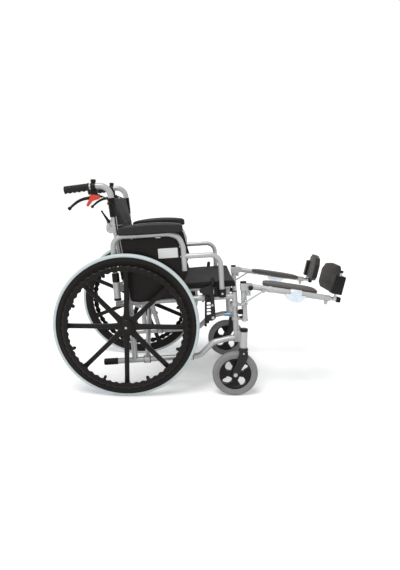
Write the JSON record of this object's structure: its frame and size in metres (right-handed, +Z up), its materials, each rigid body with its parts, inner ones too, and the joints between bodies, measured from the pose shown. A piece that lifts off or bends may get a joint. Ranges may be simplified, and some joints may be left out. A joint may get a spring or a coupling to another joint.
{
  "type": "folding wheelchair",
  "caption": "Folding self-propelled wheelchair with push rims, desk armrests and swing-away elevating leg rests.",
  "frame": {"origin": "on the floor, under the middle of the chair's overall length and width", "axes": "+X forward, +Y to the sitter's left, +Z up"},
  "size_m": [1.2513, 0.6644, 0.927],
  "materials": {
    "silver_tube": "satin silver-grey powder coat on steel tube",
    "zinc": "bright zinc plate",
    "black_steel": "semi-gloss black coat",
    "black_plastic": "moulded black plastic with a soft sheen",
    "red_plastic": "moulded red plastic",
    "grip_rubber": "moulded soft grip",
    "cable_black": "smooth cable sleeve",
    "grey_tyre": "pale blue-grey solid tyre, fine tread",
    "caster_rubber": "warm grey solid tyre",
    "pad_skin": "grained black self-skinned foam",
    "black_nylon": "black woven nylon"
  },
  "bodies": {
    "frame_right": {"side_frame_right": "silver_tube", "hub_brake_right": "zinc", "wheel_lock_bracket_right": "black_steel", "brake_cable_right": "cable_black", "back_lower": "black_nylon"},
    "cross_bar_a": {"cross_bar_a": "silver_tube", "seat_sling": "black_nylon"},
    "cross_bar_b": {"cross_bar_b": "silver_tube"},
    "frame_left": {"side_frame_left": "silver_tube", "hub_brake_left": "zinc", "wheel_lock_bracket_left": "black_steel", "brake_cable_left": "cable_black"},
    "upper_cane_right": {"upper_cane_right": "silver_tube", "push_grip_right": "grip_rubber", "brake_body_right": "black_plastic", "back_upper": "black_nylon"},
    "upper_cane_left": {"upper_cane_left": "silver_tube", "push_grip_left": "grip_rubber", "brake_body_left": "black_plastic"},
    "cane_latch_right": {"cane_latch_right": "black_plastic"},
    "cane_latch_left": {"cane_latch_left": "black_plastic"},
    "brake_lever_right": {"brake_lever_right": "black_plastic"},
    "brake_lever_left": {"brake_lever_left": "black_plastic"},
    "brake_lock_right": {"brake_lock_right": "red_plastic"},
    "brake_lock_left": {"brake_lock_left": "red_plastic"},
    "drive_wheel_right": {"tyre_right": "grey_tyre", "rim_right": "black_plastic", "hand_rim_right": "black_plastic"},
    "drive_wheel_left": {"tyre_left": "grey_tyre", "rim_left": "black_plastic", "hand_rim_left": "black_plastic"},
    "caster_fork_right": {"caster_fork_right": "black_steel"},
    "caster_fork_left": {"caster_fork_left": "black_steel"},
    "caster_wheel_right": {"caster_tyre_right": "caster_rubber", "caster_hub_right": "black_plastic"},
    "caster_wheel_left": {"caster_tyre_left": "caster_rubber", "caster_hub_left": "black_plastic"},
    "armrest_right": {"arm_frame_right": "silver_tube", "arm_pad_right": "pad_skin", "skirt_guard_right": "black_plastic"},
    "armrest_left": {"arm_frame_left": "silver_tube", "arm_pad_left": "pad_skin", "skirt_guard_left": "black_plastic"},
    "wheel_lock_right": {"wheel_lock_lever_right": "black_steel"},
    "wheel_lock_left": {"wheel_lock_lever_left": "black_steel"},
    "leg_rest_right": {"leg_hanger_right": "silver_tube"},
    "leg_rest_left": {"leg_hanger_left": "silver_tube"},
    "leg_lift_right": {"leg_tube_right": "silver_tube", "footplate_stem_right": "silver_tube"},
    "leg_lift_left": {"leg_tube_left": "silver_tube", "footplate_stem_left": "silver_tube"},
    "strut_right": {"elevation_strut_right": "zinc"},
    "strut_left": {"elevation_strut_left": "zinc"},
    "release_right": {"release_lever_right": "black_plastic"},
    "release_left": {"release_lever_left": "black_plastic"},
    "calf_right": {"calf_pad_right": "pad_skin"},
    "calf_left": {"calf_pad_left": "pad_skin"},
    "foot_right": {"footplate_right": "black_plastic"},
    "foot_left": {"footplate_left": "black_plastic"}
  },
  "joints": [
    {"name": "fold", "type": "hinge", "parent": "frame_right", "child": "cross_bar_a", "pos_m": [-0.22982, -0.232, 0.14652], "axis": [0.9969, 0, 0.0785], "range_deg": [0, 38], "deforming": ["seat_sling", "back_lower", "back_upper"]},
    {"name": "brace_cross", "type": "hinge", "parent": "cross_bar_a", "child": "cross_bar_b", "pos_m": [-0.24186, 0, 0.29955], "axis": [0.9969, 0, 0.0785], "range_deg": [-76, 0]},
    {"name": "frame_swing", "type": "hinge", "parent": "cross_bar_b", "child": "frame_left", "pos_m": [-0.22982, 0.232, 0.14652], "axis": [0.9969, 0, 0.0785], "range_deg": [0, 38]},
    {"name": "cane_fold_right", "type": "hinge", "parent": "frame_right", "child": "upper_cane_right", "pos_m": [-0.3923, -0.232, 0.73258], "axis": [0, -1, 0], "range_deg": [0, 110], "deforming": ["brake_cable_right"]},
    {"name": "cane_fold_left", "type": "hinge", "parent": "frame_left", "child": "upper_cane_left", "pos_m": [-0.3923, 0.232, 0.73258], "axis": [0, -1, 0], "range_deg": [0, 110], "deforming": ["brake_cable_left"]},
    {"name": "cane_latch_right", "type": "hinge", "parent": "upper_cane_right", "child": "cane_latch_right", "pos_m": [-0.38996, -0.232, 0.75383], "axis": [0, -1, 0], "range_deg": [0, 20], "stiffness_Nm_per_rad": 0.1, "springref_deg": -17.19},
    {"name": "cane_latch_left", "type": "hinge", "parent": "upper_cane_left", "child": "cane_latch_left", "pos_m": [-0.38996, 0.232, 0.75383], "axis": [0, -1, 0], "range_deg": [0, 20], "stiffness_Nm_per_rad": 0.1, "springref_deg": -17.19},
    {"name": "brake_squeeze_right", "type": "hinge", "parent": "upper_cane_right", "child": "brake_lever_right", "pos_m": [-0.4521, -0.232, 0.8635], "axis": [0, 1, 0], "range_deg": [0, 20], "stiffness_Nm_per_rad": 0.4, "springref_deg": -20.05},
    {"name": "brake_squeeze_left", "type": "hinge", "parent": "upper_cane_left", "child": "brake_lever_left", "pos_m": [-0.4521, 0.232, 0.8635], "axis": [0, 1, 0], "range_deg": [0, 20], "stiffness_Nm_per_rad": 0.4, "springref_deg": -20.05},
    {"name": "brake_hold_right", "type": "hinge", "parent": "upper_cane_right", "child": "brake_lock_right", "pos_m": [-0.4331, -0.232, 0.8535], "axis": [0, 1, 0], "range_deg": [0, 15]},
    {"name": "brake_hold_left", "type": "hinge", "parent": "upper_cane_left", "child": "brake_lock_left", "pos_m": [-0.4331, 0.232, 0.8535], "axis": [0, 1, 0], "range_deg": [0, 15]},
    {"name": "drive_roll_right", "type": "hinge", "parent": "frame_right", "child": "drive_wheel_right", "pos_m": [-0.3131, -0.2925, 0.3125], "axis": [0, 1, 0], "continuous": true},
    {"name": "drive_roll_left", "type": "hinge", "parent": "frame_left", "child": "drive_wheel_left", "pos_m": [-0.3131, 0.2925, 0.3125], "axis": [0, 1, 0], "continuous": true},
    {"name": "caster_swivel_right", "type": "hinge", "parent": "frame_right", "child": "caster_fork_right", "pos_m": [0.1919, -0.275, 0.218], "axis": [0, 0, 1], "continuous": true},
    {"name": "caster_swivel_left", "type": "hinge", "parent": "frame_left", "child": "caster_fork_left", "pos_m": [0.1919, 0.275, 0.218], "axis": [0, 0, 1], "continuous": true},
    {"name": "caster_roll_right", "type": "hinge", "parent": "caster_fork_right", "child": "caster_wheel_right", "pos_m": [0.1594, -0.275, 0.1], "axis": [0, 1, 0], "continuous": true},
    {"name": "caster_roll_left", "type": "hinge", "parent": "caster_fork_left", "child": "caster_wheel_left", "pos_m": [0.1594, 0.275, 0.1], "axis": [0, 1, 0], "continuous": true},
    {"name": "armrest_lift_right", "type": "slide", "parent": "frame_right", "child": "armrest_right", "axis": [-0.0785, 0, 0.9969], "range_m": [0, 0.12]},
    {"name": "armrest_lift_left", "type": "slide", "parent": "frame_left", "child": "armrest_left", "axis": [-0.0785, 0, 0.9969], "range_m": [0, 0.12]},
    {"name": "wheel_lock_right", "type": "hinge", "parent": "frame_right", "child": "wheel_lock_right", "pos_m": [0.05744, -0.253, 0.34567], "axis": [0, -1, 0], "range_deg": [0, 12]},
    {"name": "wheel_lock_left", "type": "hinge", "parent": "frame_left", "child": "wheel_lock_left", "pos_m": [0.05744, 0.253, 0.34567], "axis": [0, -1, 0], "range_deg": [0, 12]},
    {"name": "leg_swing_right", "type": "hinge", "parent": "frame_right", "child": "leg_rest_right", "pos_m": [0.15329, -0.232, 0.40237], "axis": [0.0785, 0, -0.9969], "range_deg": [0, 90]},
    {"name": "leg_swing_left", "type": "hinge", "parent": "frame_left", "child": "leg_rest_left", "pos_m": [0.15329, 0.232, 0.40237], "axis": [-0.0785, 0, 0.9969], "range_deg": [0, 90]},
    {"name": "leg_raise_right", "type": "hinge", "parent": "leg_rest_right", "child": "leg_lift_right", "pos_m": [0.21595, -0.25, 0.48554], "axis": [0, -1, 0], "range_deg": [-60, 0]},
    {"name": "leg_raise_left", "type": "hinge", "parent": "leg_rest_left", "child": "leg_lift_left", "pos_m": [0.21595, 0.25, 0.48554], "axis": [0, -1, 0], "range_deg": [-60, 0]},
    {"name": "strut_turn_right", "type": "hinge", "parent": "leg_lift_right", "child": "strut_right", "pos_m": [0.27035, -0.2695, 0.47002], "axis": [0, -1, 0], "range_deg": [0, 42]},
    {"name": "strut_turn_left", "type": "hinge", "parent": "leg_lift_left", "child": "strut_left", "pos_m": [0.27035, 0.2695, 0.47002], "axis": [0, -1, 0], "range_deg": [0, 42]},
    {"name": "release_right", "type": "hinge", "parent": "leg_rest_right", "child": "release_right", "pos_m": [0.20786, -0.25, 0.45451], "axis": [0, 1, 0], "range_deg": [0, 20], "stiffness_Nm_per_rad": 0.15, "springref_deg": -20.05},
    {"name": "release_left", "type": "hinge", "parent": "leg_rest_left", "child": "release_left", "pos_m": [0.20786, 0.25, 0.45451], "axis": [0, 1, 0], "range_deg": [0, 20], "stiffness_Nm_per_rad": 0.15, "springref_deg": -20.05},
    {"name": "calf_turn_right", "type": "hinge", "parent": "leg_lift_right", "child": "calf_right", "pos_m": [0.38934, -0.25, 0.46179], "axis": [-0.9907, 0, 0.1357], "range_deg": [0, 90]},
    {"name": "calf_turn_left", "type": "hinge", "parent": "leg_lift_left", "child": "calf_left", "pos_m": [0.38934, 0.25, 0.46179], "axis": [0.9907, 0, -0.1357], "range_deg": [0, 90]},
    {"name": "foot_turn_right", "type": "hinge", "parent": "leg_lift_right", "child": "foot_right", "pos_m": [0.58253, -0.255, 0.43533], "axis": [0.1908, 0, 0.9816], "range_deg": [0, 85]},
    {"name": "foot_turn_left", "type": "hinge", "parent": "leg_lift_left", "child": "foot_left", "pos_m": [0.58253, 0.255, 0.43533], "axis": [-0.1908, 0, -0.9816], "range_deg": [0, 85]}
  ],
  "couplings": [
    {"joint": "brace_cross", "follows": "fold", "ratio": -2},
    {"joint": "frame_swing", "follows": "fold", "ratio": 1},
    {"joint": "foot_turn_right", "follows": "fold", "ratio": 2.2368},
    {"joint": "foot_turn_left", "follows": "fold", "ratio": 2.2368},
    {"joint": "cane_fold_left", "follows": "cane_fold_right", "ratio": 1},
    {"joint": "strut_turn_right", "follows": "leg_raise_right", "ratio": -0.693},
    {"joint": "strut_turn_left", "follows": "leg_raise_left", "ratio": -0.693}
  ]
}
